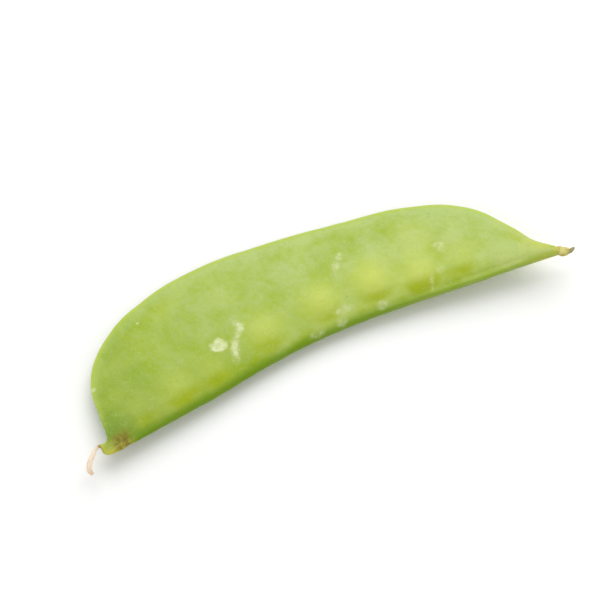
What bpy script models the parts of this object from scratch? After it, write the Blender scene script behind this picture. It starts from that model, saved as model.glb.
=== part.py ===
"""A snow pea pod, picked and lying on one of its flat sides.

The pod runs along X, with its beak at -X and its stem end at +X. The seam that the peas hang from
faces -Y and the thin back seam +Y. The origin is the bottom centre of the object's box, so the
surface that the pod lies on is z = 0. Sizes are in metres.
"""

import math

import bmesh
import bpy
from mathutils import Vector
from mathutils.geometry import interpolate_bezier

# Driving dimensions.
POD_LENGTH = 0.080  # from the corner where the beak begins to the end of the neck
BELLY_HALF = 0.0019  # half the thickness of the flat pod, between two peas
BEAK_HALF = 0.00042  # half the thickness at the tip of the beak
NECK_HALF = 0.0011  # half the thickness at the end of the neck
STEM_LIFT = 0.0030  # how far the neck end bows up off the surface
BEAK_LIFT = 0.0012  # how far the beak end does
LEAN = math.radians(4.2)  # how far the pod rolls back off its row of peas until its belly rests too
TWIST = math.radians(2.2)  # how much less the beak end leans than the middle, and the neck end more
PRESSED_FLAT = 0.0005  # how much of the lowest bulges lies flat on the surface
LOWEST_PLACE = 0.45  # where along the pod it bows up from, as a share of POD_LENGTH
JOINT_GAP = 0.0003  # between the pod and each piece that grows out of it

# The two seams, from the tip of the beak to the end of the neck, as shares of POD_LENGTH.
PEA_SEAM = (
    (-0.023, 0.010), (-0.020, -0.007), (0.003, -0.013), (0.041, -0.010), (0.110, -0.003), (0.250, 0.011),
    (0.400, 0.029), (0.550, 0.032), (0.700, 0.018), (0.850, -0.003), (0.950, -0.017), (1.016, -0.027),
)
BACK_SEAM = (
    (-0.021, 0.018), (-0.008, 0.017), (0.002, 0.066), (0.018, 0.152), (0.082, 0.226), (0.190, 0.277),
    (0.323, 0.298), (0.480, 0.288), (0.640, 0.262), (0.790, 0.227), (0.895, 0.170), (0.962, 0.076),
    (0.985, 0.030), (1.016, -0.005),
)

# The peas: the place of each as a share of the pea seam, how far in from that seam it hangs, and how much it
# swells each of the two walls.
PEAS = (
    (0.122, 0.0032, 0.00014), (0.206, 0.0043, 0.00036), (0.285, 0.0038, 0.00022), (0.412, 0.0053, 0.00042),
    (0.531, 0.0059, 0.00060), (0.634, 0.0061, 0.00074), (0.728, 0.0043, 0.00048), (0.815, 0.0046, 0.00026),
)
PEA_RADIUS = 0.0029

# The stem stub and the dried style: each path starts at its joint with the pod, with a radius at each point.
STUB_PATH = ((0.0, 0.0, 0.0), (0.0004, -0.0002, 0.0), (0.0010, -0.0009, 0.0001), (0.0017, -0.0015, 0.0001))
STUB_RADII = (0.00078, 0.00086, 0.00092, 0.00066)
STYLE_PATH = (
    (0.0, 0.0, 0.0), (-0.0005, -0.0001, 0.0001), (-0.0017, -0.0012, 0.0004), (-0.0027, -0.0022, 0.0003),
    (-0.0031, -0.0031, 0.0), (-0.0029, -0.0037, -0.0002),
)
STYLE_RADII = (0.00024, 0.00027, 0.00033, 0.00042, 0.00042, 0.00026)

# Section shape: the belly lies nearer to the pea seam, and both ends of the pod turn round.
BELLY_PLACE, BELLY_FULLNESS = 0.36, 0.60
ROUND_PLACE, ROUND_FULLNESS = 0.5, 0.5
BEAK_ROUND = (0.02, 0.10)  # the beak is round up to the first share of the seams, and flat from the second
NECK_ROUND = (0.93, 0.995)  # the neck begins to turn round at the first, and is round from the second
BEAK_TAPER = 0.26  # the share of the seams over which the beak thickens to the full belly
NECK_TAPER = (0.70, 0.98)  # the shares between which the belly thins to the neck
SLIMMING = 3.0  # how sharply the belly gives way to a round section where the pod is narrow
SWELLING_REACH = 3.0  # how near to the seams the peas still swell the walls in full

# Mesh density.
STATIONS = 72
AROUND = 36
CURVE_STEPS = 12

GREEN = (0.36, 0.55, 0.11)
TAN = (0.52, 0.42, 0.16)
STRAW = (0.78, 0.66, 0.45)


def smooth_step(low, high, value):
    """0 below low, 1 above high, and a smooth rise between them."""
    share = min(1.0, max(0.0, (value - low) / (high - low)))
    return share * share * (3.0 - 2.0 * share)


def mix(first, second, share):
    return first + (second - first) * share


class Seam:
    """A smooth curve through a few points, read by the share of its length."""

    def __init__(self, name, points):
        guide = bpy.data.curves.new(name, "CURVE")
        guide.dimensions = "2D"
        spline = guide.splines.new("BEZIER")
        spline.bezier_points.add(len(points) - 1)
        for knot, (along, across) in zip(spline.bezier_points, points):
            knot.co = (along * POD_LENGTH, across * POD_LENGTH, 0.0)
            knot.handle_left_type = knot.handle_right_type = "AUTO"
        holder = bpy.data.objects.new(name, guide)
        bpy.context.scene.collection.objects.link(holder)
        bpy.context.view_layer.update()
        knots = list(spline.bezier_points)
        self.line = [knots[0].co.copy()]
        for first, second in zip(knots, knots[1:]):
            self.line += interpolate_bezier(
                first.co, first.handle_right, second.handle_left, second.co, CURVE_STEPS + 1
            )[1:]
        self.reach = [0.0]
        for first, second in zip(self.line, self.line[1:]):
            self.reach.append(self.reach[-1] + (second - first).length)
        bpy.data.objects.remove(holder)
        bpy.data.curves.remove(guide)

    def at(self, share):
        """The point at this share of the seam's length."""
        wanted = min(1.0, max(0.0, share)) * self.reach[-1]
        for index in range(1, len(self.reach)):
            if wanted <= self.reach[index]:
                break
        step = self.reach[index] - self.reach[index - 1]
        return self.line[index - 1].lerp(self.line[index], (wanted - self.reach[index - 1]) / step)


def pea_places(seam):
    """The centre of each pea, in from the pea seam."""
    places = []
    for share, inwards, _ in PEAS:
        ahead = (seam.at(share + 0.01) - seam.at(share - 0.01)).normalized()
        places.append(seam.at(share) + Vector((-ahead.y, ahead.x, 0.0)) * inwards)
    return places


def half_thickness(share, across, rib, spot, peas):
    """Half the pod's thickness at one spot of its rib, with the swelling of the nearby peas."""
    roundness = max(1.0 - smooth_step(*BEAK_ROUND, share), smooth_step(*NECK_ROUND, share))
    place = mix(BELLY_PLACE, ROUND_PLACE, roundness)
    fullness = mix(BELLY_FULLNESS, ROUND_FULLNESS, roundness)
    fall = fullness * (1.0 - place) / place
    lens = (across / place) ** fullness * ((1.0 - across) / (1.0 - place)) ** fall
    body = mix(BEAK_HALF, BELLY_HALF, smooth_step(0.0, BEAK_TAPER, share))
    body = mix(body, NECK_HALF, smooth_step(*NECK_TAPER, share))
    body = (body**-SLIMMING + (rib / 2.0) ** -SLIMMING) ** (-1.0 / SLIMMING)
    swelling = sum(
        size * math.exp(-((spot - pea).length / PEA_RADIUS) ** 2) for pea, (_, _, size) in zip(peas, PEAS)
    )
    return body * lens + swelling * min(1.0, SWELLING_REACH * lens)


def bow(spot):
    """How far the middle surface of the pod stands off a flat plane: it bows up to both ends and twists."""
    along = spot.x / POD_LENGTH - LOWEST_PLACE
    if along > 0.0:
        lift = STEM_LIFT * (along / (1.0 - LOWEST_PLACE)) ** 2
    else:
        lift = BEAK_LIFT * (along / LOWEST_PLACE) ** 2
    return lift - spot.y * math.tan(LEAN + 2.0 * along * TWIST)


def pod_surface(pea_seam, back_seam, peas):
    """A function from (share along, angle around) to a point on the pod's skin."""

    def skin(share, angle):
        front, back = pea_seam.at(share), back_seam.at(share)
        across = (1.0 - math.cos(angle)) / 2.0
        spot = front.lerp(back, across)
        half = half_thickness(share, across, (back - front).length, spot, peas)
        side = 1.0 if math.sin(angle) > 0.0 else -1.0
        return Vector((spot.x, spot.y, bow(spot) + side * half))

    return skin


def material(name, colour, roughness):
    made = bpy.data.materials.new(name)
    made.use_nodes = True
    shader = made.node_tree.nodes["Principled BSDF"]
    shader.inputs["Base Color"].default_value = (*colour, 1.0)
    shader.inputs["Roughness"].default_value = roughness
    shader.inputs["Metallic"].default_value = 0.0
    return made


def make_pod(collection, skin):
    """A sphere whose rings of vertices become the pod's sections, and whose poles close its two ends."""
    mesh = bpy.data.meshes.new("pod")
    shape = bmesh.new()
    bmesh.ops.create_uvsphere(shape, u_segments=AROUND, v_segments=STATIONS, radius=1.0)
    for vertex in shape.verts:
        ring = round(math.acos(max(-1.0, min(1.0, vertex.co.z))) / math.pi * STATIONS)
        share = min(1.0, max(0.0, (ring - 1) / (STATIONS - 2)))
        if ring in (0, STATIONS):
            vertex.co = (skin(share, 0.0) + skin(share, math.pi)) / 2.0
        else:
            vertex.co = skin(share, math.atan2(vertex.co.y, vertex.co.x))
    floor = min(vertex.co.z for vertex in shape.verts) + PRESSED_FLAT
    for vertex in shape.verts:
        vertex.co.z = max(vertex.co.z, floor)
    shape.to_mesh(mesh)
    shape.free()
    mesh.shade_smooth()
    pod = bpy.data.objects.new("pod", mesh)
    pod.data.materials.append(material("pod_skin", GREEN, 0.42))
    collection.objects.link(pod)
    return pod


def make_stalk(collection, name, joint, path, radii, look):
    """A short stalk that starts at a joint and follows a path, thicker and thinner by turns."""
    curve = bpy.data.curves.new(name, "CURVE")
    curve.dimensions = "3D"
    curve.bevel_depth = 1.0
    curve.bevel_resolution = 3
    curve.resolution_u = 6
    curve.use_fill_caps = True
    spline = curve.splines.new("BEZIER")
    spline.bezier_points.add(len(path) - 1)
    for knot, step, radius in zip(spline.bezier_points, path, radii):
        knot.co = joint + Vector(step)
        knot.handle_left_type = knot.handle_right_type = "AUTO"
        knot.radius = radius
    stalk = bpy.data.objects.new(name + "_curve", curve)
    collection.objects.link(stalk)
    graph = bpy.context.evaluated_depsgraph_get()
    mesh = bpy.data.meshes.new_from_object(stalk.evaluated_get(graph))
    bpy.data.objects.remove(stalk)
    shape = bmesh.new()
    shape.from_mesh(mesh)
    bmesh.ops.remove_doubles(shape, verts=shape.verts, dist=1e-6)
    shape.to_mesh(mesh)
    shape.free()
    mesh.name = name
    mesh.materials.clear()
    mesh.materials.append(look)
    piece = bpy.data.objects.new(name, mesh)
    collection.objects.link(piece)
    return piece


def stand_on_origin(pieces):
    """Moves every piece so that the bottom centre of their common box is the origin."""
    bpy.context.view_layer.update()
    corners = [vertex.co for piece in pieces for vertex in piece.data.vertices]
    low = Vector([min(corner[axis] for corner in corners) for axis in range(3)])
    high = Vector([max(corner[axis] for corner in corners) for axis in range(3)])
    shift = Vector((-(low.x + high.x) / 2.0, -(low.y + high.y) / 2.0, -low.z))
    for piece in pieces:
        piece.location = shift


def main():
    for leftover in list(bpy.data.objects):
        bpy.data.objects.remove(leftover)
    collection = bpy.data.collections.new("snow_pea_pod")
    bpy.context.scene.collection.children.link(collection)
    pea_seam = Seam("pea_seam", PEA_SEAM)
    back_seam = Seam("back_seam", BACK_SEAM)
    peas = pea_places(pea_seam)
    skin = pod_surface(pea_seam, back_seam, peas)
    pod = make_pod(collection, skin)
    gap = Vector((JOINT_GAP, 0.0, 0.0))
    neck_end = (skin(1.0, 0.0) + skin(1.0, math.pi)) / 2.0 + gap
    beak_end = (skin(0.0, 0.0) + skin(0.0, math.pi)) / 2.0 - gap
    stub = make_stalk(
        collection, "stem_stub", neck_end, STUB_PATH, STUB_RADII, material("stub_bark", TAN, 0.75)
    )
    style = make_stalk(
        collection, "dried_style", beak_end, STYLE_PATH, STYLE_RADII, material("dry_straw", STRAW, 0.8)
    )
    stand_on_origin([pod, stub, style])


main()
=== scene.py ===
"""A snow pea pod, picked and lying on one of its flat sides on a pale ground.

The pod is one skin grown between two seams by Geometry Nodes. The stem stub, the wisp at its end and
the dried style are stalks swept along short guides. Sizes are in metres, or in shares of the pod's
length where a comment says so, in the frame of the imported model.
"""

import math

import bmesh
import bpy
from bpy.props import FloatProperty, FloatVectorProperty, IntProperty, PointerProperty
from bpy.types import Operator, Panel, PropertyGroup
from mathutils import Matrix, Vector


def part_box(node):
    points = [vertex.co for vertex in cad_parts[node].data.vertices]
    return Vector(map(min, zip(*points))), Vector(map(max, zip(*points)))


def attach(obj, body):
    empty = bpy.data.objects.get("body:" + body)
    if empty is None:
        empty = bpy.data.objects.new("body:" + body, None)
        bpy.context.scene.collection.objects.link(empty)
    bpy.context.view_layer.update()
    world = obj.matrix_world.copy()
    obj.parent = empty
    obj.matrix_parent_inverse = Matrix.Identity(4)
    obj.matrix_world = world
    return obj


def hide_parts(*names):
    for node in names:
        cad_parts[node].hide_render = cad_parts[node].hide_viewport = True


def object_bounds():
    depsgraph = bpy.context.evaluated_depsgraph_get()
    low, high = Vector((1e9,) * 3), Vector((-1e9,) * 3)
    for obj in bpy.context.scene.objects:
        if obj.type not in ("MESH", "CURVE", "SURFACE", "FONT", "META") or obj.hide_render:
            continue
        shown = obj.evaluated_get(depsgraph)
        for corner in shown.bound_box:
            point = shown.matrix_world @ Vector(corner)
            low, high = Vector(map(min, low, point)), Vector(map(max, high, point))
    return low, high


bl_info = {
    "name": "Snow Pea Pod",
    "version": (1, 0, 0),
    "blender": (4, 5, 0),
    "location": "3D View > Sidebar > Snow Pea",
    "description": "Grows a snow pea pod with its stem stub and dried style, and a studio to see it in",
    "category": "Add Mesh",
}

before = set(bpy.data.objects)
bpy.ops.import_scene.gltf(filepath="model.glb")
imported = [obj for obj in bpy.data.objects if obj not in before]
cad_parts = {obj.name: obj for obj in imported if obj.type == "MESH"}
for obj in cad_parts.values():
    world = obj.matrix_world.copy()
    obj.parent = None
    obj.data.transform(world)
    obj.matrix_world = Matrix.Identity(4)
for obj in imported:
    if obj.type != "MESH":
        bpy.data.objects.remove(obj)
CAD_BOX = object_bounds()
POD_LOW, POD_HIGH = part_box("pod")
STUB_LOW, STUB_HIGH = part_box("stem_stub")
STYLE_LOW, STYLE_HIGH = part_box("dried_style")

MILLIMETRES = 1000.0
FULL_TURN = 2.0 * math.pi
WELD_DISTANCE = 1e-6

# The two seams, from the tip of the beak to the end of the neck, as shares of the pod's length.
PEA_SEAM = (
    (-0.023, 0.010), (-0.020, -0.007), (0.003, -0.013), (0.041, -0.010), (0.110, -0.003),
    (0.250, 0.011), (0.400, 0.029), (0.550, 0.032), (0.700, 0.018), (0.850, -0.003),
    (0.950, -0.017), (1.016, -0.027),
)
BACK_SEAM = (
    (-0.021, 0.018), (-0.008, 0.017), (0.002, 0.066), (0.018, 0.152), (0.082, 0.226),
    (0.190, 0.277), (0.323, 0.298), (0.480, 0.288), (0.640, 0.262), (0.790, 0.227),
    (0.895, 0.170), (0.962, 0.076), (0.985, 0.030), (1.016, -0.005),
)

# Each pea: its place as a share of the pea seam, then, in metres, how far in from that seam it hangs
# and how much it swells the wall.
PEAS = (
    (0.122, 0.0032, 0.00014), (0.206, 0.0043, 0.00036), (0.285, 0.0038, 0.00022),
    (0.412, 0.0053, 0.00042), (0.531, 0.0059, 0.00060), (0.634, 0.0061, 0.00074),
    (0.728, 0.0043, 0.00048), (0.815, 0.0046, 0.00026),
)

# The stub, the wisp at its end and the style as steps from their joints with the pod, in metres, with a
# radius at each step.
STUB_STEPS = (
    (-0.0012, 0.0003, 0.0), (-0.0006, 0.0, 0.0), (0.0, -0.0002, 0.0), (0.0004, -0.0006, 0.0),
    (0.0008, -0.0008, 0.0001), (0.0012, -0.0009, 0.0001), (0.0015, -0.0010, 0.0001),
)
STUB_RADII = (0.00055, 0.00072, 0.00078, 0.00082, 0.00080, 0.00066, 0.00038)
WISP_STEPS = (
    (0.0010, -0.0010, 0.0002), (0.0016, -0.0011, 0.0003), (0.0021, -0.0010, 0.0004),
    (0.0025, -0.0009, 0.0003),
)
WISP_RADII = (0.00046, 0.00042, 0.00034, 0.00013)
STYLE_STEPS = (
    (0.0012, -0.0012, -0.0001), (0.0007, -0.0005, 0.0), (0.0001, 0.0001, 0.0),
    (-0.0005, -0.0001, 0.0001), (-0.0016, -0.0011, 0.0004), (-0.0026, -0.0021, 0.0003),
    (-0.0030, -0.0031, 0.0), (-0.0028, -0.0038, -0.0002),
)
STYLE_RADII = (0.00016, 0.00024, 0.00028, 0.00030, 0.00040, 0.00045, 0.00046, 0.00030)

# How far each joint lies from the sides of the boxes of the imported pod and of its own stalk, in metres.
NECK_BEYOND_POD, NECK_UNDER_STUB_TOP = 0.0003, 0.00075
BEAK_BEYOND_POD, BEAK_UNDER_STYLE_TOP, BEAK_ABOVE_STYLE = 0.0002, 0.00024, 0.00042

# Pale scuffs on the upper side: place along and across, length and width, all as shares of the pod's
# length, then the heading in degrees and how strongly each shows.
SCUFFS = (
    (0.282, 0.108, 0.025, 0.025, 0.0, 1.00),
    (0.293, 0.117, 0.022, 0.019, 0.0, 1.00),
    (0.302, 0.105, 0.020, 0.026, 0.0, 0.95),
    (0.290, 0.100, 0.030, 0.020, 0.0, 0.90),
    (0.345, 0.138, 0.018, 0.014, 120.0, 0.60),
    (0.350, 0.127, 0.023, 0.020, 70.0, 0.78),
    (0.340, 0.115, 0.026, 0.018, 45.0, 0.66),
    (0.324, 0.100, 0.030, 0.021, 55.0, 0.60),
    (0.318, 0.086, 0.034, 0.022, 69.0, 0.62),
    (0.312, 0.068, 0.036, 0.019, 73.0, 0.56),
    (0.606, 0.182, 0.026, 0.018, 60.0, 0.55),
    (0.590, 0.166, 0.028, 0.020, 60.0, 0.50),
    (0.802, 0.108, 0.030, 0.018, 160.0, 0.55),
    (0.803, 0.095, 0.026, 0.016, 0.0, 0.35),
    (0.780, 0.054, 0.024, 0.018, 40.0, 0.40),
    (0.751, 0.037, 0.040, 0.010, 64.0, 0.50),
    (0.638, 0.042, 0.028, 0.024, 20.0, 0.50),
    (0.560, 0.068, 0.048, 0.020, 0.0, 0.52),
    (0.548, 0.048, 0.034, 0.024, 40.0, 0.52),
    (0.487, 0.045, 0.040, 0.018, 0.0, 0.35),
    (0.161, 0.232, 0.008, 0.007, 0.0, 0.80),
    (0.017, 0.134, 0.013, 0.011, 0.0, 0.75),
)

# Each lamp: its place in metres, and its share of the key's power.
LAMPS = {"key": ((0.14, 0.23, 0.42), 1.0), "fill": ((-0.42, -0.30, 0.40), 0.12)}
LAMP_SIZE = 0.50
GROUND_SIZE = 6.0
NEAREST_SEEN = 0.01


def linear(red, green, blue):
    """A screen colour from 0 to 255 as the linear colour that the nodes take."""
    return tuple(
        part / 12.92 if part <= 0.04045 else ((part + 0.055) / 1.055) ** 2.4
        for part in (red / 255.0, green / 255.0, blue / 255.0)
    )


def length_of(name, description, default):
    return FloatProperty(
        name=name, description=description, default=default, min=0.0, precision=5,
        subtype="DISTANCE", unit="LENGTH",
    )


def angle_of(name, description, degrees):
    return FloatProperty(
        name=name, description=description, default=math.radians(degrees),
        subtype="ANGLE", unit="ROTATION",
    )


def colour_of(name, description, default):
    return FloatVectorProperty(
        name=name, description=description, default=default, size=3, min=0.0, max=1.0, subtype="COLOR"
    )


class PodShape(PropertyGroup):
    """The pod's own sizes."""

    pod_length: length_of("Pod length", "From the corner where the beak begins to the neck", 0.080)
    belly_half: length_of("Belly half", "Half the thickness of the flat pod, between two peas", 0.0019)
    beak_half: length_of("Beak half", "Half the thickness at the tip of the beak", 0.00042)
    neck_half: length_of("Neck half", "Half the thickness at the end of the neck", 0.0011)
    stem_lift: length_of("Stem lift", "How far the neck end bows up off the ground", 0.0030)
    beak_lift: length_of("Beak lift", "How far the beak end bows up off the ground", 0.0012)
    lean: angle_of("Lean", "How far the pod rolls back off its row of peas", 4.2)
    twist: angle_of("Twist", "How much the lean changes from the middle to each end", 2.2)
    pressed_flat: length_of("Pressed flat", "How deep the lowest bulges are pressed flat", 0.0005)
    pea_radius: length_of("Pea radius", "How far a pea's swelling reaches", 0.0029)
    rib_height: length_of("Rib height", "How far the rib beside the pea seam stands up", 0.00017)
    furrow_depth: length_of("Furrow depth", "How deep the furrow behind that rib is", 0.00014)
    bead_height: length_of("Bead height", "How far the bead beside the back seam stands up", 0.00010)
    suture_depth: length_of("Suture depth", "How deep the groove between the two walls is", 0.00016)
    waver: length_of("Waver", "How far the walls wander up and down over the pod", 0.00034)
    stations: IntProperty(name="Stations", description="Sections along the pod", default=420, min=20)
    around: IntProperty(name="Around", description="Points around each section", default=180, min=12)


class SkinLook(PropertyGroup):
    """The colours of the pod's skin."""

    leaf: colour_of("Leaf green", "The main green", linear(146, 170, 22))
    # Darker green: the skin's own greener mottle, and also painted shade along the rounded rim by the pea
    # seam and over the beak half.
    deep_green_and_shade: colour_of("Deep green", "The greener patches and the rounded edges", linear(102, 136, 2))
    # Pale wax colour, which also lays a painted sheen along the back seam and over the upper side towards
    # the neck.
    bloom_and_sheen: colour_of("Bloom", "The pale waxy bloom", linear(170, 188, 110))
    glow: colour_of("Pea glow", "Where a pea lies under the wall", linear(194, 204, 92))
    # Painted shadow: a yellower, darker green below each pea's bulge, on its side towards the pea seam.
    pea_shadow_olive: colour_of("Olive", "The ripe patch between a pea and its seam", linear(154, 170, 0))
    rim: colour_of("Rim", "The thin line of the back seam", linear(158, 180, 64))
    ochre: colour_of("Ochre", "The neck and the rim of the beak", linear(190, 188, 78))
    scuff: colour_of("Scuff", "Pale healed scratches", linear(214, 219, 172))
    bruise: colour_of("Bruise", "The brown scuff of the beak", linear(112, 82, 0))


class DryLook(PropertyGroup):
    """The colours of the stub and the style."""

    stub: colour_of("Stub", "The swollen knob of the stub", linear(206, 200, 122))
    stub_shade: colour_of("Stub shade", "Its furrows and its underside", linear(176, 162, 54))
    wisp: colour_of("Wisp", "The dry thread at its end", linear(142, 134, 96))
    straw: colour_of("Straw", "The papery style", linear(236, 220, 196))
    straw_shade: colour_of("Straw shade", "Its folds", linear(206, 170, 144))
    joint: colour_of("Joint", "The brown stretch where the style leaves the beak", linear(112, 76, 26))


class StudioLook(PropertyGroup):
    """The camera, the lights and the ground."""

    elevation: angle_of("Elevation", "How far above the ground the camera stands", 68.0)
    rise: angle_of("Rise", "How steeply the pod rises across the picture", 24.18)
    lens: FloatProperty(name="Lens", description="Focal length in millimetres", default=180.0, min=1.0)
    fill: FloatProperty(
        name="Fill", description="How much of the picture's width the pod takes", default=0.80
    )
    ground: colour_of("Ground", "The ground", (0.90, 0.90, 0.89))
    sky: FloatProperty(name="Sky", description="Strength of the light from all around", default=0.72)
    key: FloatProperty(name="Key", description="Power of the large soft lamp, in watts", default=1.65)


class Wire:
    """An output of a node tree. Arithmetic on it adds Math nodes to the tree."""

    def __init__(self, graph, node, output):
        self.graph = graph
        self.node = node
        self.socket = next(socket for socket in node.outputs if socket.identifier == output)

    def out(self, output):
        """Another output of the same node."""
        return Wire(self.graph, self.node, output)

    def __add__(self, other):
        return self.graph.maths("ADD", self, other)

    def __sub__(self, other):
        return self.graph.maths("SUBTRACT", self, other)

    def __rsub__(self, other):
        return self.graph.maths("SUBTRACT", other, self)

    def __mul__(self, other):
        return self.graph.maths("MULTIPLY", self, other)

    def __truediv__(self, other):
        return self.graph.maths("DIVIDE", self, other)

    def __rtruediv__(self, other):
        return self.graph.maths("DIVIDE", other, self)

    def __pow__(self, other):
        return self.graph.maths("POWER", self, other)

    def __neg__(self):
        return self * -1.0

    __radd__ = __add__
    __rmul__ = __mul__


class Graph:
    """A node tree under construction. Each call returns an output of the node that it added."""

    def __init__(self, tree):
        self.tree = tree
        self.given = {}

    def add(self, kind, settings=None, values=None, output=None):
        """A node of this kind, with its settings set first, then its inputs by identifier."""
        node = self.tree.nodes.new(kind)
        for name, value in (settings or {}).items():
            setattr(node, name, value)
        for name, value in (values or {}).items():
            socket = next(socket for socket in node.inputs if socket.identifier == name)
            if isinstance(value, Wire):
                self.tree.links.new(value.socket, socket)
            elif socket.type == "RGBA":
                socket.default_value = (*value[:3], 1.0)
            else:
                socket.default_value = value
        if not node.outputs:
            return None
        first = next(socket for socket in node.outputs if socket.enabled)
        return Wire(self, node, output or first.identifier)

    def maths(self, operation, *values):
        values = dict(zip(("Value", "Value_001"), values))
        return self.add("ShaderNodeMath", {"operation": operation}, values, "Value")

    def vector(self, operation, *values, output="Vector"):
        values = dict(zip(("Vector", "Vector_001"), values))
        return self.add("ShaderNodeVectorMath", {"operation": operation}, values, output)

    def scaled(self, vector, scale):
        values = {"Vector": vector, "Scale": scale}
        return self.add("ShaderNodeVectorMath", {"operation": "SCALE"}, values, "Vector")

    def joined(self, x, y, z):
        return self.add("ShaderNodeCombineXYZ", values={"X": x, "Y": y, "Z": z})

    def split(self, vector):
        parts = self.add("ShaderNodeSeparateXYZ", values={"Vector": vector}, output="X")
        return parts, parts.out("Y"), parts.out("Z")

    def smooth(self, low, high, value):
        """0 below low, 1 above high, and a smooth rise between them."""
        values = {"Value": value, "From Min": low, "From Max": high, "To Min": 0.0, "To Max": 1.0}
        return self.add("ShaderNodeMapRange", {"interpolation_type": "SMOOTHSTEP"}, values, "Result")

    def bell(self, value):
        """1 at 0, and a smooth fall to 0 on both sides, past about 2."""
        return self.maths("EXPONENT", -(value * value))

    def larger(self, first, second):
        return self.maths("MAXIMUM", first, second)

    def smaller(self, first, second):
        return self.maths("MINIMUM", first, second)

    def noise(self, place, scale, detail=2.0, roughness=0.5, distortion=0.0):
        """Soft noise from 0 to 1, about 1 / scale from crest to crest."""
        values = {
            "Vector": place, "Scale": scale, "Detail": detail, "Roughness": roughness,
            "Distortion": distortion,
        }
        return self.add("ShaderNodeTexNoise", {"noise_dimensions": "3D"}, values, "Fac")

    def wobble(self, place, scale, size):
        """A small push in every direction, up to about a third of this size."""
        push = self.vector("SUBTRACT", self.noise(place, scale, 3.0).out("Color"), (0.5, 0.5, 0.5))
        return self.scaled(push, size)

    def tinted(self, colour, tint, share):
        """A colour with this share of another mixed in."""
        values = {"Factor_Float": share, "A_Color": colour, "B_Color": tint}
        return self.add("ShaderNodeMix", {"data_type": "RGBA"}, values, "Result_Color")

    def attribute(self, name, output="Fac"):
        return self.add("ShaderNodeAttribute", {"attribute_name": name}, output=output)


def growing_graph(name, inputs):
    """A Geometry Nodes tree with these named inputs, which its Graph keeps by name."""
    tree = bpy.data.node_groups.new(name, "GeometryNodeTree")
    for label, kind in inputs:
        tree.interface.new_socket(label, in_out="INPUT", socket_type=kind)
    tree.interface.new_socket("Geometry", in_out="OUTPUT", socket_type="NodeSocketGeometry")
    graph = Graph(tree)
    entry = tree.nodes.new("NodeGroupInput")
    for label, _ in inputs:
        graph.given[label] = Wire(graph, entry, entry.outputs[label].identifier)
    return graph


def finish_graph(graph, geometry):
    """Ends a Geometry Nodes tree in real, smooth faces with their material."""
    smooth = graph.add("GeometryNodeSetShadeSmooth", values={"Geometry": geometry})
    real = graph.add("GeometryNodeRealizeInstances", values={"Geometry": smooth})
    dressed = graph.add(
        "GeometryNodeSetMaterial", values={"Geometry": real, "Material": graph.given["Material"]}
    )
    exit_node = graph.tree.nodes.new("NodeGroupOutput")
    graph.tree.links.new(dressed.socket, exit_node.inputs[0])


def grow(name, graph, settings):
    """Runs a Geometry Nodes tree, and returns what it makes as a plain mesh piece."""
    piece = bpy.data.objects.new(name, bpy.data.meshes.new(name))
    bpy.context.scene.collection.objects.link(piece)
    modifier = piece.modifiers.new("grow", "NODES")
    modifier.node_group = graph.tree
    for item in graph.tree.interface.items_tree:
        if item.in_out == "INPUT":
            modifier[item.identifier] = settings[item.name]
    bpy.context.view_layer.update()
    evaluated = piece.evaluated_get(bpy.context.evaluated_depsgraph_get())
    mesh = bpy.data.meshes.new_from_object(evaluated)
    piece.modifiers.remove(modifier)
    piece.data = mesh
    mesh.name = name
    if not mesh.polygons:
        raise RuntimeError(f"{name} came out empty")
    face_outwards(mesh)
    return piece


def face_outwards(mesh):
    """Turns every face of a closed mesh outwards."""
    shape = bmesh.new()
    shape.from_mesh(mesh)
    bmesh.ops.recalc_face_normals(shape, faces=shape.faces)
    if shape.calc_volume(signed=True) < 0.0:
        bmesh.ops.reverse_faces(shape, faces=shape.faces)
    shape.to_mesh(mesh)
    shape.free()


def guide_curve(name, points, radii=None):
    """A smooth curve through a few points, with a radius at each, for a Geometry Nodes tree to follow."""
    curve = bpy.data.curves.new(name, "CURVE")
    curve.dimensions = "3D"
    curve.resolution_u = 24
    spline = curve.splines.new("BEZIER")
    spline.bezier_points.add(len(points) - 1)
    for index, (knot, point) in enumerate(zip(spline.bezier_points, points)):
        knot.co = Vector(point)
        knot.handle_left_type = knot.handle_right_type = "AUTO"
        knot.radius = radii[index] if radii else 1.0
    guide = bpy.data.objects.new(name, curve)
    guide.hide_render = True
    bpy.context.scene.collection.objects.link(guide)
    return guide


def discard(*guides):
    """Takes guides that have been followed out of the scene."""
    for guide in guides:
        curve = guide.data
        bpy.data.objects.remove(guide)
        bpy.data.curves.remove(curve)


def store(graph, geometry, name, value, data_type="FLOAT", domain="POINT"):
    """Keeps a value on the geometry under a name, for the material to read or for the mesh to carry."""
    settings = {"data_type": data_type, "domain": domain}
    values = {"Geometry": geometry, "Name": name, "Value": value}
    return graph.add("GeometryNodeStoreNamedAttribute", settings, values)


def sample(graph, curve, share, output="Position"):
    """A point of a guide, or its direction, at this share of its length."""
    values = {"Curves": curve, "Factor": share}
    return graph.add("GeometryNodeSampleCurve", {"mode": "FACTOR"}, values, output)


def moved(graph, geometry, position):
    return graph.add("GeometryNodeSetPosition", values={"Geometry": geometry, "Position": position})


def welded(graph, geometry):
    values = {"Geometry": geometry, "Distance": WELD_DISTANCE}
    return graph.add("GeometryNodeMergeByDistance", values=values)


def guide_geometry(graph, label):
    return graph.add("GeometryNodeObjectInfo", values={"Object": graph.given[label]}, output="Geometry")


def pea_swelling(graph, shape, seam, spot):
    """How far the peas under this spot push the wall out."""
    total = 0.0
    for share, inwards, size in PEAS:
        across = graph.vector("CROSS_PRODUCT", (0.0, 0.0, 1.0), sample(graph, seam, share, "Tangent"))
        pea = graph.vector("ADD", sample(graph, seam, share), graph.scaled(across, inwards))
        distance = graph.vector("DISTANCE", spot, pea, output="Value")
        total = graph.bell(distance / shape.pea_radius) * size + total
    return total


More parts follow.
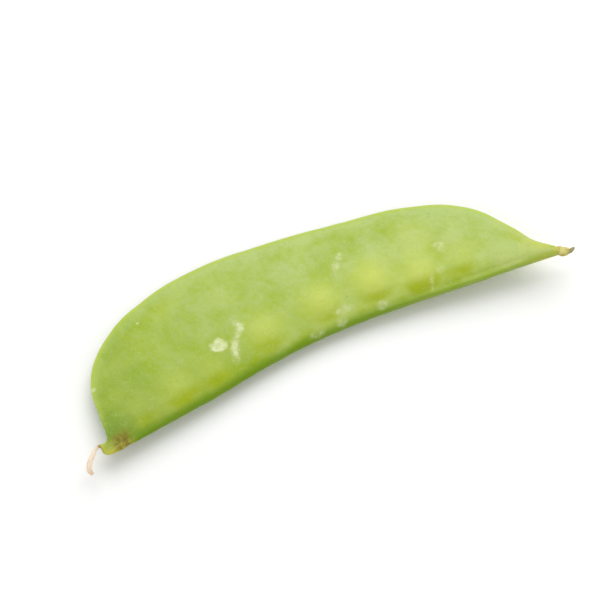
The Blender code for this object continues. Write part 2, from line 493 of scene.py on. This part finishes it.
def wall_thickness(graph, share, across, width):
    """The wall without its peas: half the pod's thickness at the fullest, and its fall to the seams.

    The fall is a teardrop, and it turns round towards both ends, where the pod is narrow.
    """
    belly_place, belly_fullness = 0.36, 0.60
    round_place, round_fullness = 0.5, 0.5
    round_beak, round_neck = (0.02, 0.10), (0.93, 0.995)
    beak_widening, neck_narrowing = (0.0, 0.26), (0.70, 0.98)
    slimming = 3.0
    roundness = graph.larger(1.0 - graph.smooth(*round_beak, share), graph.smooth(*round_neck, share))
    place = roundness * (round_place - belly_place) + belly_place
    fullness = roundness * (round_fullness - belly_fullness) + belly_fullness
    fall = fullness * (1.0 - place) / place
    lens = (across / place) ** fullness * ((1.0 - across) / (1.0 - place)) ** fall
    given = graph.given
    widening = (given["Belly Half"] - given["Beak Half"]) * graph.smooth(*beak_widening, share)
    body = given["Beak Half"] + widening
    body = body + (given["Neck Half"] - body) * graph.smooth(*neck_narrowing, share)
    body = (body ** -slimming + (width / 2.0) ** -slimming) ** (-1.0 / slimming)
    return body, lens


def seam_relief(graph, shape, share, to_pea, to_back, fine):
    """The rib and furrow beside the pea seam, clearer by the neck, and the bead beside the back seam."""
    rib_place, rib_width = 0.00050, 0.00028
    furrow_place, furrow_width = 0.00125, 0.00042
    bead_place, bead_width = 0.00045, 0.00028
    faint, clearing = 0.3, (0.45, 0.80)
    clear = graph.smooth(*clearing, share) * (1.0 - faint) + faint
    rib = graph.bell((to_pea - rib_place) / rib_width) * shape.rib_height * clear
    furrow = graph.bell((to_pea - furrow_place) / furrow_width) * shape.furrow_depth * clear
    bead = graph.bell((to_back - bead_place) / bead_width) * shape.bead_height
    return (rib - furrow + bead) * fine


def pod_graph(shape):
    """The pod: a grid whose rows become sections between the seams, closed round at both ends."""
    graph = growing_graph("grow_pod", (
        ("Pea Seam", "NodeSocketObject"), ("Back Seam", "NodeSocketObject"),
        ("Pod Length", "NodeSocketFloat"), ("Belly Half", "NodeSocketFloat"),
        ("Beak Half", "NodeSocketFloat"), ("Neck Half", "NodeSocketFloat"),
        ("Stations", "NodeSocketInt"), ("Around", "NodeSocketInt"), ("Material", "NodeSocketMaterial"),
    ))
    given = graph.given

    # A cap is the share of the rows that closes one end, and its bulge rounds it off. Fine relief fades
    # in as the pod grows from blunt to wide. It and the peas fade out over the last thin part of a wall.
    cap, cap_bulge = 0.014, 0.0001
    blunt, wide = 0.0025, 0.0090
    pea_hold, relief_hold = 3.0, 2.5
    suture_width = 0.00024

    # Noise: crests per metre or per pod, and heights in metres. The two sides read it this far apart.
    uneven_scale, uneven_height, side_apart = 130.0, 0.00022, 0.02
    ripple_scale, ripple_height = 26.0, 0.00022
    waver_scale = 55.0

    # Where the bowed pod comes nearest to the ground, as a share of its length.
    lowest_place = 0.45

    pea_seam = guide_geometry(graph, "Pea Seam")
    back_seam = guide_geometry(graph, "Back Seam")
    grid = graph.add("GeometryNodeMeshGrid", values={
        "Size X": 1.0, "Size Y": 1.0,
        "Vertices X": given["Stations"], "Vertices Y": given["Around"] + 1.0,
    }, output="Mesh")
    skin = store(graph, grid, "OFBake", grid.out("UV Map"), "FLOAT2", "CORNER")

    row, turn, _ = graph.split(graph.add("GeometryNodeInputPosition"))
    row, turn = row + 0.5, turn + 0.5
    beak_cap = 1.0 - graph.smaller(row / cap, 1.0)
    neck_cap = 1.0 - graph.smaller((1.0 - row) / cap, 1.0)
    closing = graph.larger(beak_cap, neck_cap)
    girth = graph.maths("SQRT", graph.larger(1.0 - closing * closing, 0.0))
    share = graph.larger(graph.smaller((row - cap) / (1.0 - 2.0 * cap), 1.0), 0.0)

    front, back = sample(graph, pea_seam, share), sample(graph, back_seam, share)
    span = graph.vector("SUBTRACT", back, front)
    width = graph.vector("LENGTH", span, output="Value")
    inwards = graph.vector("NORMALIZE", span)
    angle = turn * FULL_TURN
    across = (1.0 - graph.maths("COSINE", angle)) / 2.0
    side = graph.maths("SIGN", graph.maths("SINE", angle))
    spot = graph.vector("ADD", front, graph.scaled(span, across))

    to_pea, to_back = across * width, (1.0 - across) * width
    fine = graph.smooth(blunt, wide, width)
    body, lens = wall_thickness(graph, share, across, width)
    peas = pea_swelling(graph, shape, pea_seam, spot)
    spot_x, spot_y, _ = graph.split(spot)
    sided = graph.joined(spot_x, spot_y, side * side_apart)
    unevenness = (graph.noise(sided, uneven_scale, 1.5) - 0.5) * uneven_height * lens * fine
    relief = seam_relief(graph, shape, share, to_pea, to_back, fine)
    half = body * lens + peas * graph.smaller(lens * pea_hold, 1.0) + unevenness
    half = (half + relief * graph.smaller(lens * relief_hold, 1.0)) * girth

    by_pea_seam = graph.maths("LESS_THAN", across, 0.5)
    suture = graph.bell(half / suture_width) * by_pea_seam * fine * shape.suture_depth
    ripple = graph.noise(graph.joined(share, across, 0.0), ripple_scale, 1.0)
    ripple = (ripple - 0.5) * ripple_height * fine
    middle = graph.vector("ADD", front, graph.scaled(span, 0.5))
    spot = graph.vector("ADD", spot, graph.scaled(inwards, suture + ripple))
    spot = graph.vector("ADD", middle, graph.scaled(graph.vector("SUBTRACT", spot, middle), girth))

    x, y, _ = graph.split(spot)
    along = x / given["Pod Length"] - lowest_place
    to_neck = graph.larger(along, 0.0) / (1.0 - lowest_place)
    to_beak = graph.smaller(along, 0.0) / lowest_place
    lift = to_neck * to_neck * shape.stem_lift + to_beak * to_beak * shape.beak_lift
    slope = graph.maths("TANGENT", along * (2.0 * shape.twist) + shape.lean)
    waver = (graph.noise(graph.joined(x, y, 0.0), waver_scale, 1.0) - 0.5) * shape.waver * fine
    rounding = (neck_cap - beak_cap) * cap_bulge
    place = graph.joined(x + rounding, y, lift - y * slope + waver + side * half)

    share_x, share_y = x / given["Pod Length"], y / given["Pod Length"]
    strongest = max(size for _, _, size in PEAS)
    skin = store(graph, skin, "plan", graph.joined(share_x, share_y, side), "FLOAT_VECTOR")
    skin = store(graph, skin, "to_pea", to_pea * MILLIMETRES)
    skin = store(graph, skin, "to_back", to_back * MILLIMETRES)
    skin = store(graph, skin, "pea", peas / strongest)
    skin = welded(graph, moved(graph, skin, place))
    x, y, z = graph.split(graph.add("GeometryNodeInputPosition"))
    values = {"Geometry": skin, "Attribute": z}
    lowest = graph.add("GeometryNodeAttributeStatistic", values=values, output="Min")
    skin = moved(graph, skin, graph.joined(x, y, graph.larger(z, lowest + shape.pressed_flat)))
    finish_graph(graph, skin)
    return graph


def stalk_graph():
    """A stalk swept along a guide, whose radius it takes, with furrows and a little wrinkling."""
    graph = growing_graph("grow_stalk", (
        ("Guide", "NodeSocketObject"), ("Steps", "NodeSocketInt"), ("Sides", "NodeSocketInt"),
        ("Furrows", "NodeSocketFloat"), ("Furrow Depth", "NodeSocketFloat"),
        ("Wrinkle", "NodeSocketFloat"), ("Flatness", "NodeSocketFloat"),
        ("Seed", "NodeSocketFloat"), ("Material", "NodeSocketMaterial"),
    ))
    given = graph.given
    wrinkle_scale = 1400.0
    line = graph.add("GeometryNodeResampleCurve", {"mode": "COUNT"}, {
        "Curve": guide_geometry(graph, "Guide"), "Count": given["Steps"],
    })
    share = graph.add("GeometryNodeSplineParameter", output="Factor")
    line = store(graph, line, "share", share)
    ring = graph.add("GeometryNodeCurvePrimitiveCircle", {"mode": "RADIUS"}, {
        "Resolution": given["Sides"], "Radius": 1.0,
    }, output="Curve")
    around = graph.add("GeometryNodeSplineParameter", output="Factor") * FULL_TURN
    x, y, _ = graph.split(graph.add("GeometryNodeInputPosition"))
    furrow = (1.0 - graph.maths("COSINE", around * given["Furrows"])) * 0.5
    reach = 1.0 - furrow * given["Furrow Depth"]
    ring = store(graph, ring, "around", around)
    ring = moved(graph, ring, graph.joined(x * reach, y * reach * (1.0 - given["Flatness"]), 0.0))
    stalk = graph.add("GeometryNodeCurveToMesh", values={
        "Curve": line, "Profile Curve": ring, "Fill Caps": True,
        "Scale": graph.add("GeometryNodeInputRadius"),
    })
    spot = graph.add("GeometryNodeInputPosition")
    seed = graph.joined(given["Seed"], 0.0, 0.0)
    shaken = graph.vector("ADD", graph.scaled(spot, wrinkle_scale), seed)
    push = (graph.noise(shaken, 1.0, 2.0) - 0.5) * given["Wrinkle"]
    normal = graph.add("GeometryNodeInputNormal", output="Normal")
    values = {"Geometry": stalk, "Offset": graph.scaled(normal, push)}
    stalk = graph.add("GeometryNodeSetPosition", values=values)
    finish_graph(graph, welded(graph, stalk))
    return graph


def new_material(name):
    """An empty node material, and the Graph that fills it."""
    made = bpy.data.materials.new(name)
    made.use_nodes = True
    made.node_tree.nodes.clear()
    return made, Graph(made.node_tree)


def end_material(graph, values):
    """Ends a material in its one shader."""
    shader = graph.add("ShaderNodeBsdfPrincipled", values=values)
    graph.add("ShaderNodeOutputMaterial", values={"Surface": shader})


def bump(graph, height):
    """A normal from a height in metres."""
    return graph.add("ShaderNodeBump", values={"Strength": 1.0, "Distance": 1.0, "Height": height})


class SkinMap:
    """What the skin's colours follow: where a spot lies, its distance from the seams, and soft noises.

    Along and across are shares of the pod's length, and distances from the seams are in millimetres.
    """

    def __init__(self, graph):
        self.spot = graph.add("ShaderNodeTexCoord", output="Object")
        self.x, self.y, self.z = graph.split(self.spot)
        self.plan = graph.attribute("plan", "Vector")
        self.along, self.across, self.side = graph.split(self.plan)
        self.to_pea = graph.attribute("to_pea")
        self.to_back = graph.attribute("to_back")
        self.pea = graph.attribute("pea")
        self.grown = graph.smooth(0.0, 0.46, self.along)
        self.patches = graph.noise(self.spot, 75.0, 3.0, 0.55)
        self.cloud = graph.noise(self.spot, 230.0, 4.0, 0.62, 0.3)
        self.mottle = graph.noise(self.spot, 620.0, 3.0, 0.60)
        self.grain = graph.noise(self.spot, 2600.0, 2.0, 0.6)
        self.flaky = graph.noise(self.spot, 1700.0, 3.0, 0.70)

    def astray(self, value, size):
        """A value that wanders by up to half of this size from cloud to cloud."""
        return value + (self.cloud - 0.5) * size


def bloom_and_sheen_cover(graph, skin):
    """How thick the pale wax lies: thin by the beak and the pea seam, thick by the neck and the back, plus
    painted sheen along the back seam and on the upper side towards the neck.
    """
    fibres = graph.noise(graph.joined(skin.x + skin.y * 0.35, skin.y * 0.30, skin.z), 1100.0, 2.0, 0.55)
    inland = graph.smooth(0.5, 9.0, skin.to_pea + (skin.patches - 0.5) * 5.0)
    between_peas = graph.bell((skin.to_pea - 3.6) / 1.8) * (1.0 - graph.smooth(0.03, 0.35, skin.pea))
    crossing = skin.to_pea / (skin.to_pea + skin.to_back + 0.01)
    # Painted sheen: more pale wax on the upper side towards the neck and along the back seam, standing in
    # for a soft sheen of light.
    shoulder_sheen = graph.smooth(0.60, 0.90, skin.along) * graph.smooth(6.0, 12.0, skin.to_pea)
    neck = graph.smooth(0.84, 0.96, skin.along) * (0.80 - graph.smooth(0.35, 0.70, crossing) * 0.85)
    back_seam_sheen = 1.0 - graph.smooth(0.8, 3.0, skin.to_back)
    bloom_and_sheen = (0.10 + skin.grown * 0.48) * (0.20 + inland * 0.80)
    bloom_and_sheen = bloom_and_sheen + shoulder_sheen * 0.25 + neck + between_peas * 0.30 + back_seam_sheen * 0.35
    bloom_and_sheen = bloom_and_sheen + (skin.cloud - 0.5) * (0.9 + skin.grown) + (skin.patches - 0.5) * 0.9
    bloom_and_sheen = bloom_and_sheen + (fibres - 0.5) * 0.6 + (skin.mottle - 0.5) * 1.4
    return graph.larger(graph.smaller(bloom_and_sheen, 1.0), 0.0)


def main_green(graph, skin, look, bloom_and_sheen):
    """Leaf green under the pale wax, with painted shade in darker green over the beak half and beside the
    pea seam, and a few light patches.
    """
    colour = graph.tinted(look.leaf, look.bloom_and_sheen, bloom_and_sheen)
    # Painted shade: darker green over the beak half, most beside the pea seam and at the beak end, where
    # the pod turns from the light.
    shaded = (1.0 - skin.grown) * (1.0 - graph.smooth(2.5, 10.0, skin.to_pea))
    beak_end_shade = (1.0 - graph.smooth(0.06, 0.16, skin.along)) * graph.smooth(0.5, 3.0, skin.to_back)
    colour = graph.tinted(colour, look.deep_green_and_shade, shaded * 0.50 + (1.0 - skin.grown) * 0.14 + beak_end_shade * 0.26)
    return graph.tinted(colour, look.glow, graph.smooth(0.50, 0.72, skin.patches) * 0.25)


def with_peas(graph, skin, look, colour):
    """The glow over each pea, and a painted shadow between the pea and its seam, on the side of its bulge
    turned from the light.
    """
    colour = graph.tinted(colour, look.glow, graph.larger(skin.pea, 0.0) ** 0.68 * 0.80)
    # Painted shadow: a yellower, darker green below each pea's bulge, on its side towards the pea seam.
    pea_shadow_side = 1.0 - graph.smooth(2.1, 4.4, skin.astray(skin.to_pea, 1.5))
    return graph.tinted(colour, look.pea_shadow_olive, graph.smooth(0.06, 0.24, skin.pea) * pea_shadow_side * 0.90)


def with_mottle(graph, skin, look, colour):
    """Small deeper and paler spots all over."""
    shade = skin.mottle - 0.5 + (skin.grain - 0.5) * 0.70
    colour = graph.tinted(colour, look.deep_green_and_shade, graph.smooth(0.0, 0.35, shade) * 0.22)
    return graph.tinted(colour, look.bloom_and_sheen, graph.smooth(0.0, 0.30, -shade) * 0.40)


def with_seams(graph, skin, look, colour):
    """Painted shade in darker green along the rounded rim at the pea seam, and pale lines on its rib and
    on the rim of the back seam.
    """
    slim = graph.smooth(0.55, 0.90, skin.along)
    # Painted shade: darker green along the rounded rim at the pea seam, where the wall turns under, away
    # from the light.
    edge_shade = 1.0 - graph.smooth(0.5, 1.8 - slim * 0.5, skin.astray(skin.to_pea, 0.7))
    rib = graph.bell((skin.to_pea - 0.45) / 0.28) * slim
    rim = 1.0 - graph.smooth(0.30, 0.95, skin.to_back)
    colour = graph.tinted(colour, look.deep_green_and_shade, edge_shade * (0.84 - slim * 0.36))
    colour = graph.tinted(colour, look.rim, rib * 0.50)
    return graph.tinted(colour, look.rim, rim * 0.6)


def scuff_reach(graph, skin):
    """1 on the pale scuffs of the upper side, with a soft ragged fall around them."""
    plan = graph.vector("ADD", skin.plan, graph.wobble(skin.spot, 420.0, 0.005))
    ragged = (graph.noise(skin.spot, 1500.0, 2.0) - 0.5) * 0.55
    total = 0.0
    for along, across, length, width, heading, strength in SCUFFS:
        turned = graph.add("ShaderNodeVectorRotate", {"rotation_type": "Z_AXIS"}, {
            "Vector": plan, "Center": (along, across, 0.0), "Angle": -math.radians(heading),
        })
        x, y, _ = graph.split(turned)
        x, y = (x - along) * (2.0 / length), (y - across) * (2.0 / width)
        reach = graph.maths("SQRT", x * x + y * y) + ragged
        total = (1.0 - graph.smooth(0.45, 1.20, reach)) * strength + total
    return graph.smaller(total, 1.0) * graph.maths("GREATER_THAN", skin.side, 0.0)


def scuff_cover(graph, skin):
    """How much the pale scuffs hide: all of the skin in the strongest, and flecks of it in the rest."""
    lumps = graph.noise(skin.spot, 1000.0, 1.0)
    reach = scuff_reach(graph, skin)
    solid = graph.smooth(0.52, 0.90, reach)
    flecks = graph.smooth(0.42, 0.66, lumps * 0.4 + skin.flaky * 0.6)
    cover = reach * (0.26 + solid * (lumps * 0.5 + 0.14) + flecks * (0.80 - solid * 0.45))
    return graph.smaller(cover, 1.0)


def specks(graph, skin, scuff):
    """A few small dark specks away from the scuffs, and a few pale ones."""
    values = {"Vector": skin.spot, "Scale": 420.0}
    pits = graph.add("ShaderNodeTexVoronoi", {"feature": "F1"}, values, "Distance")
    chance = graph.add("ShaderNodeSeparateColor", values={"Color": pits.out("Color")}, output="Red")
    dark = (1.0 - graph.smooth(0.030, 0.075, pits)) * graph.smooth(0.93, 0.95, chance)
    pale = (1.0 - graph.smooth(0.020, 0.085, pits)) * (1.0 - graph.smooth(0.06, 0.08, chance))
    return dark * (1.0 - graph.smooth(0.0, 0.5, scuff)), pale


def with_ends(graph, skin, look, colour):
    """Ochre streaks on the neck, and the ochre lip, brown scuff and brown tip of the beak."""
    seamward = 1.0 - graph.smooth(0.5, 1.5, skin.to_pea)
    streaks = graph.noise(graph.joined(skin.x * 0.12, skin.y + skin.x * 0.25, skin.z), 1700.0, 1.0)
    neck = graph.smooth(0.920, 1.010, skin.astray(skin.along, 0.06)) * (0.42 + seamward * 0.30)
    neck = neck * (0.50 + graph.smooth(0.35, 0.65, streaks) * 0.80)
    colour = graph.tinted(colour, look.ochre, graph.smaller(neck, 0.75))

    unsteady = skin.astray(skin.along, 0.02)
    near_beak = 1.0 - graph.smooth(0.014, 0.060, unsteady)
    lip = near_beak * (1.0 - graph.smooth(0.3, 1.3, skin.to_pea))
    low = 1.0 - graph.smooth(0.004, 0.030, skin.astray(skin.across - skin.along * 0.35, 0.03))
    colour = graph.tinted(colour, look.ochre, lip * 0.70)
    colour = graph.tinted(colour, look.ochre, near_beak * low * 0.42)

    flakes = graph.smooth(0.38, 0.60, skin.mottle * 0.45 + skin.flaky * 0.55)
    bruise = graph.smooth(-0.010, 0.014, skin.along) * (1.0 - graph.smooth(0.030, 0.056, unsteady))
    bruise = bruise * low * (0.12 + flakes * 0.68)
    tip = 1.0 - graph.smooth(-0.0255, -0.0185, skin.along)
    return graph.tinted(colour, look.bruise, graph.smaller(bruise + tip * 0.7, 0.90))


def skin_material(look):
    made, graph = new_material("pod_skin")
    skin = SkinMap(graph)
    bloom_and_sheen = bloom_and_sheen_cover(graph, skin)
    scuff = scuff_cover(graph, skin)
    dark_speck, pale_speck = specks(graph, skin, scuff)

    colour = main_green(graph, skin, look, bloom_and_sheen)
    colour = with_peas(graph, skin, look, colour)
    colour = with_mottle(graph, skin, look, colour)
    colour = with_seams(graph, skin, look, colour)
    colour = graph.tinted(colour, look.bruise, dark_speck * 0.30)
    colour = graph.tinted(colour, look.scuff, pale_speck * 0.35)
    colour = graph.tinted(colour, look.scuff, scuff * 0.95)
    colour = with_ends(graph, skin, look, colour)

    roughness = 0.38 + bloom_and_sheen * 0.12 + (skin.mottle - 0.5) * 0.20 + scuff * 0.25
    height = (skin.mottle - 0.5) * 0.000022 + (skin.grain - 0.5) * 0.000010 + (skin.cloud - 0.5) * 0.00010
    height = height + scuff * (skin.flaky * 0.00002 + 0.00003) - dark_speck * 0.00003
    end_material(graph, {
        "Base Color": colour, "Roughness": roughness, "Normal": bump(graph, height),
        "IOR": 1.42, "Specular IOR Level": 0.28, "Subsurface Weight": 0.35,
        "Subsurface Radius": (0.9, 1.0, 0.25), "Subsurface Scale": 0.0012,
    })
    return made


def stalk_fibres(graph, share, stretch, scale):
    """Noise drawn out into fibres down a stalk, with more of a change along it as the stretch grows."""
    around = graph.attribute("around")
    spot = graph.joined(graph.maths("COSINE", around), graph.maths("SINE", around), share * stretch)
    return graph.noise(spot, scale, 4.0)


def stub_material(look):
    made, graph = new_material("stub_bark")
    spot = graph.add("ShaderNodeTexCoord", output="Object")
    share = graph.attribute("share")
    fibre = stalk_fibres(graph, share, 0.8, 7.0)
    blotch = graph.noise(spot, 1300.0, 3.0)
    collar = graph.bell((share - 0.40) / 0.06)
    dry_end = graph.smooth(0.90, 1.0, share)
    furrows = graph.smooth(0.42, 0.62, fibre * 0.6 + blotch * 0.4)
    colour = graph.tinted(look.stub, look.stub_shade, furrows)
    colour = graph.tinted(colour, look.stub_shade, collar * 0.8)
    colour = graph.tinted(colour, look.wisp, dry_end * 0.7)
    height = (fibre - 0.5) * 0.00006 + (blotch - 0.5) * 0.00003
    end_material(graph, {
        "Base Color": colour, "Roughness": 0.62 + (blotch - 0.5) * 0.3, "Normal": bump(graph, height),
        "Subsurface Weight": 0.15, "Subsurface Radius": (1.0, 0.8, 0.4), "Subsurface Scale": 0.0006,
    })
    return made


def wisp_material(look):
    made, graph = new_material("dry_wisp")
    spot = graph.add("ShaderNodeTexCoord", output="Object")
    streak = graph.noise(spot, 2600.0, 3.0)
    colour = graph.tinted(look.wisp, look.stub_shade, graph.smooth(0.5, 0.75, streak))
    end_material(graph, {
        "Base Color": colour, "Roughness": 0.75 + (streak - 0.5) * 0.2,
        "Normal": bump(graph, (streak - 0.5) * 0.00005),
    })
    return made


def style_material(look):
    made, graph = new_material("dry_straw")
    spot = graph.add("ShaderNodeTexCoord", output="Object")
    share = graph.attribute("share")
    fibre = stalk_fibres(graph, share, 1.5, 6.0)
    blotch = graph.noise(spot, 1100.0, 3.0)
    brown_joint = graph.bell((share - 0.20) / 0.07) * graph.smooth(0.25, 0.45, blotch)
    colour = graph.tinted(look.straw, look.straw_shade, graph.smooth(0.45, 0.68, fibre) * 0.7)
    colour = graph.tinted(colour, look.straw_shade, graph.smooth(0.86, 1.0, share) * 0.5)
    colour = graph.tinted(colour, look.joint, brown_joint)
    end_material(graph, {
        "Base Color": colour, "Roughness": 0.68 + (blotch - 0.5) * 0.2,
        "Normal": bump(graph, (fibre - 0.5) * 0.00008),
        "Subsurface Weight": 0.3, "Subsurface Radius": (1.0, 0.7, 0.5), "Subsurface Scale": 0.0006,
    })
    return made


def ride_root(piece, node):
    """Gives a finished piece its body, and hides the imported part that it stands for."""
    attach(piece, "root")
    if node:
        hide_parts(node)


class SNOWPEA_OT_pod(Operator):
    """Grow the pod between its two seams"""

    bl_idname = "snowpea.pod"
    bl_label = "Pod"

    def execute(self, context):
        shape = context.scene.snowpea_pod
        scale = shape.pod_length
        pea_seam = guide_curve("pea_seam_guide", [(x * scale, y * scale, 0.0) for x, y in PEA_SEAM])
        back_seam = guide_curve("back_seam_guide", [(x * scale, y * scale, 0.0) for x, y in BACK_SEAM])
        pod = grow("pod_skin", pod_graph(shape), {
            "Pea Seam": pea_seam, "Back Seam": back_seam, "Pod Length": scale,
            "Belly Half": shape.belly_half, "Beak Half": shape.beak_half, "Neck Half": shape.neck_half,
            "Stations": shape.stations, "Around": shape.around,
            "Material": skin_material(context.scene.snowpea_skin),
        })
        discard(pea_seam, back_seam)
        low = Vector([min(vertex.co[axis] for vertex in pod.data.vertices) for axis in range(3)])
        high = Vector([max(vertex.co[axis] for vertex in pod.data.vertices) for axis in range(3)])
        shift = (POD_LOW + POD_HIGH - low - high) / 2.0
        shift.z = POD_LOW.z - low.z
        pod.data.transform(Matrix.Translation(shift))
        ride_root(pod, "pod")
        return {"FINISHED"}


def neck_joint():
    """Where the stub leaves the neck."""
    middle = (STUB_LOW.z + STUB_HIGH.z) / 2.0
    return Vector((POD_HIGH.x + NECK_BEYOND_POD, STUB_HIGH.y - NECK_UNDER_STUB_TOP, middle))


def beak_joint():
    """Where the style leaves the beak."""
    return Vector((
        POD_LOW.x - BEAK_BEYOND_POD, STYLE_HIGH.y - BEAK_UNDER_STYLE_TOP, STYLE_LOW.z + BEAK_ABOVE_STYLE
    ))


def sweep(name, joint, steps, radii, material, settings):
    """A stalk swept along steps from its joint with the pod."""
    guide = guide_curve(name + "_guide", [joint + Vector(step) for step in steps], radii)
    piece = grow(name, stalk_graph(), {"Guide": guide, "Material": material, **settings})
    discard(guide)
    return piece


class SNOWPEA_OT_stub(Operator):
    """Grow the stem stub on the neck, with the wisp of dry thread at its end"""

    bl_idname = "snowpea.stub"
    bl_label = "Stem stub"

    def execute(self, context):
        look = context.scene.snowpea_dry
        bark, dry = stub_material(look), wisp_material(look)
        stub = sweep("stem_stub_bark", neck_joint(), STUB_STEPS, STUB_RADII, bark, {
            "Steps": 80, "Sides": 72, "Furrows": 7.0, "Furrow Depth": 0.05, "Wrinkle": 0.00016,
            "Flatness": 0.06, "Seed": 3.0,
        })
        ride_root(stub, "stem_stub")
        wisp = sweep("stub_wisp", neck_joint(), WISP_STEPS, WISP_RADII, dry, {
            "Steps": 32, "Sides": 20, "Furrows": 3.0, "Furrow Depth": 0.18, "Wrinkle": 0.00012,
            "Flatness": 0.25, "Seed": 8.0,
        })
        ride_root(wisp, None)
        return {"FINISHED"}


class SNOWPEA_OT_style(Operator):
    """Grow the dried style on the tip of the beak"""

    bl_idname = "snowpea.style"
    bl_label = "Dried style"

    def execute(self, context):
        look = context.scene.snowpea_dry
        straw = style_material(look)
        style = sweep("dried_style_straw", beak_joint(), STYLE_STEPS, STYLE_RADII, straw, {
            "Steps": 90, "Sides": 40, "Furrows": 2.0, "Furrow Depth": 0.30, "Wrinkle": 0.00014,
            "Flatness": 0.40, "Seed": 5.0,
        })
        ride_root(style, "dried_style")
        return {"FINISHED"}


class SNOWPEA_OT_studio(Operator):
    """Set up the pale ground, the soft light and the camera"""

    bl_idname = "snowpea.studio"
    bl_label = "Studio"

    def execute(self, context):
        look = context.scene.snowpea_studio
        self.lay_ground(look)
        self.hang_lights(context, look)
        self.place_camera(context, look)
        context.scene.view_settings.view_transform = "Standard"
        return {"FINISHED"}

    def lay_ground(self, look):
        bpy.ops.mesh.primitive_plane_add(size=GROUND_SIZE, location=(0.0, 0.0, POD_LOW.z))
        ground = bpy.context.object
        ground.name = "ground"
        made, graph = new_material("ground")
        paper = {"Base Color": tuple(look.ground), "Roughness": 0.9, "Specular IOR Level": 0.1}
        end_material(graph, paper)
        ground.data.materials.append(made)

    def hang_lights(self, context, look):
        world = bpy.data.worlds.new("studio")
        world.use_nodes = True
        context.scene.world = world
        background = world.node_tree.nodes["Background"]
        background.inputs["Color"].default_value = (1.0, 1.0, 1.0, 1.0)
        background.inputs["Strength"].default_value = look.sky
        for name, (place, share) in LAMPS.items():
            lamp = bpy.data.lights.new(name, "AREA")
            lamp.shape = "DISK"
            lamp.size = LAMP_SIZE
            lamp.energy = look.key * share
            holder = bpy.data.objects.new(name, lamp)
            holder.location = place
            holder.rotation_euler = (-Vector(place)).to_track_quat("-Z", "Y").to_euler()
            context.scene.collection.objects.link(holder)

    def place_camera(self, context, look):
        azimuth = -math.atan(math.tan(look.rise) / math.sin(look.elevation))
        level, upright = math.cos(look.elevation), math.sin(look.elevation)
        back = Vector((math.sin(azimuth) * level, -math.cos(azimuth) * level, upright))
        low, high = CAD_BOX
        middle = (Vector(low) + Vector(high)) / 2.0
        camera = bpy.data.cameras.new("camera")
        camera.lens = look.lens
        camera.clip_start = NEAREST_SEEN
        width = (high[0] - low[0]) * math.cos(azimuth) / look.fill
        distance = width * look.lens / camera.sensor_width
        holder = bpy.data.objects.new("camera", camera)
        holder.location = middle + back * distance
        holder.rotation_euler = back.to_track_quat("Z", "Y").to_euler()
        context.scene.collection.objects.link(holder)
        context.scene.camera = holder


class SNOWPEA_PT_panel(Panel):
    """Lists the pieces of the snow pea pod"""

    bl_idname = "SNOWPEA_PT_panel"
    bl_label = "Snow Pea Pod"
    bl_space_type = "VIEW_3D"
    bl_region_type = "UI"
    bl_category = "Snow Pea"

    def draw(self, context):
        for operator in OPERATORS:
            self.layout.operator(operator.bl_idname)
        for group in SETTINGS:
            box = self.layout.box()
            box.label(text=group)
            settings = getattr(context.scene, group)
            for name in settings.bl_rna.properties.keys():
                if name not in ("rna_type", "name"):
                    box.prop(settings, name)


OPERATORS = (SNOWPEA_OT_pod, SNOWPEA_OT_stub, SNOWPEA_OT_style, SNOWPEA_OT_studio)
SETTINGS = {
    "snowpea_pod": PodShape,
    "snowpea_skin": SkinLook,
    "snowpea_dry": DryLook,
    "snowpea_studio": StudioLook,
}


def register():
    for made in (*SETTINGS.values(), *OPERATORS, SNOWPEA_PT_panel):
        bpy.utils.register_class(made)
    for name, group in SETTINGS.items():
        setattr(bpy.types.Scene, name, PointerProperty(type=group))


def unregister():
    for name in SETTINGS:
        delattr(bpy.types.Scene, name)
    for made in reversed((*SETTINGS.values(), *OPERATORS, SNOWPEA_PT_panel)):
        bpy.utils.unregister_class(made)


def main():
    register()
    bpy.ops.snowpea.pod()
    bpy.ops.snowpea.stub()
    bpy.ops.snowpea.style()
    bpy.ops.snowpea.studio()


if __name__ == "__main__":
    main()
